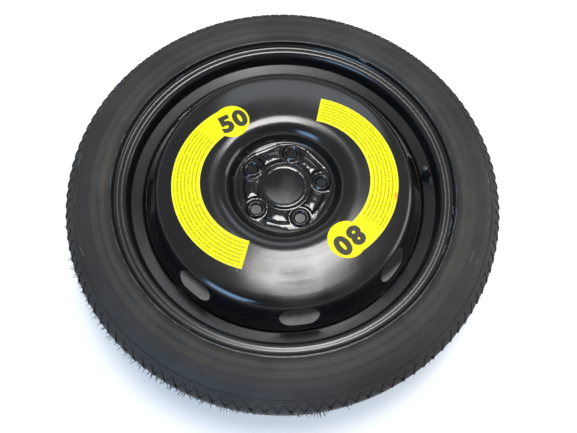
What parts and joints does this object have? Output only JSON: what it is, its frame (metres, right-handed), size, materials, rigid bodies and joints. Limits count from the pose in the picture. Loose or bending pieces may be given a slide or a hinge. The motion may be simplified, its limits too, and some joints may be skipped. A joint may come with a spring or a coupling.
{
  "type": "spare wheel",
  "caption": "Narrow temporary car spare wheel with pressed steel disc, rolled rim, slim tyre, snap-in valve and yellow labels, lying flat with its outer side up.",
  "frame": {"origin": "on the wheel axis, in the rim's centre plane, midway between the rim's flanges", "axes": "+Z along the wheel axis towards the outer side, which is up as it lies; +X to the right in the picture and about towards the valve, +Y away from the camera"},
  "size_m": [0.632, 0.632, 0.125],
  "materials": {
    "tyre_rubber": "matt black tyre rubber, dusty near the rim",
    "rim_paint": "black dip paint, satin to gloss",
    "disc_paint": "black dip paint, satin to gloss, fine scratches",
    "weld_paint": "painted over weld, rough",
    "valve_rubber": "smooth black rubber",
    "valve_brass": "turned brass, dulled",
    "core_rubber": "black rubber",
    "gasket_red": "red sealing ring",
    "spring_steel": "bright steel wire",
    "cap_plastic": "black moulded plastic",
    "label_vinyl": "yellow vinyl with black print"
  },
  "bodies": {
    "wheel": {"tyre": "tyre_rubber", "rim": "rim_paint", "wheel_disc": "disc_paint", "weld_beads": "weld_paint", "valve_rubber": "valve_rubber", "valve_stem": "valve_brass", "core_plug": "valve_brass", "core_barrel": "valve_brass", "core_gasket": "gasket_red", "core_spring": "spring_steel", "yellow_label_right": "label_vinyl", "yellow_label_left": "label_vinyl"},
    "core_plunger": {"core_pin": "valve_brass", "core_cup": "valve_brass", "core_seal": "core_rubber"},
    "cap_lining": {"cap_seal": "core_rubber"},
    "cap": {"valve_cap": "cap_plastic"}
  },
  "joints": [
    {"name": "core_press", "type": "slide", "parent": "wheel", "child": "core_plunger", "axis": [0.3544, 0.053, -0.9336], "range_m": [0, 0.001], "stiffness_N_per_m": 500, "springref_m": -0.006, "deforming": ["core_spring"]},
    {"name": "cap_lift", "type": "slide", "parent": "wheel", "child": "cap_lining", "axis": [-0.3544, -0.053, 0.9336], "range_m": [0, 0.00397]},
    {"name": "cap_unscrew", "type": "hinge", "parent": "cap_lining", "child": "cap", "pos_m": [0.20748, 0.03101, 0.04621], "axis": [-0.3544, -0.053, 0.9336], "range_deg": [0, 1800]}
  ],
  "couplings": [
    {"joint": "cap_unscrew", "follows": "cap_lift", "rad_per_m": 7912.5}
  ]
}
